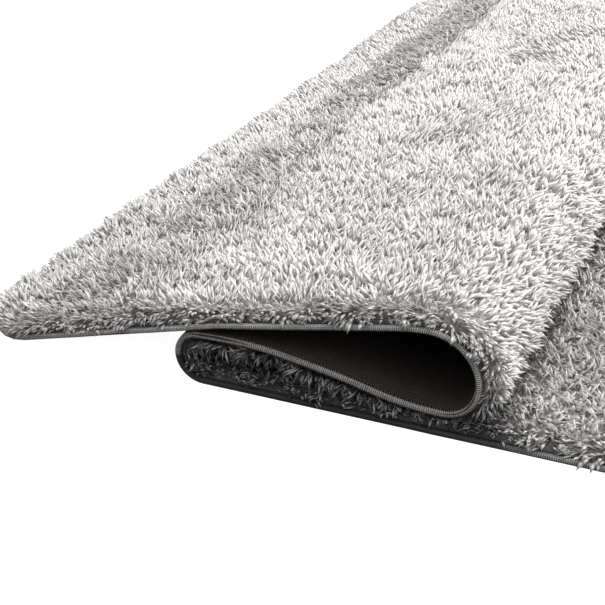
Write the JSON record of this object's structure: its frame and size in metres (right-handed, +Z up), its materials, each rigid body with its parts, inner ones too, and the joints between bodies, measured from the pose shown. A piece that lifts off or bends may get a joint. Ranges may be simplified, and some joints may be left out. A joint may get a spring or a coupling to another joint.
{
  "type": "shag rug",
  "caption": "Long-pile grey shag rug, folded back on itself in one S, with a dark woven backing and an overlocked edge.",
  "frame": {"origin": "under the middle of the whole rug's box, on the floor that it lies on", "axes": "+Z up; +Y along the folds, from the front edge to the back edge; +X from the flap's tip to the flat end"},
  "size_m": [1.6, 1.6224, 0.1471],
  "materials": {
    "pile": "long, soft, slightly shiny synthetic yarn in light silver grey with darker roots",
    "backing": "matt, fine twill cloth in dark brown-black",
    "binding": "matt mid-grey overlocking yarn, ribbed across the edge"
  },
  "bodies": {
    "root": {"pile": "pile", "backing": "backing", "binding": "binding"}
  },
  "joints": []
}
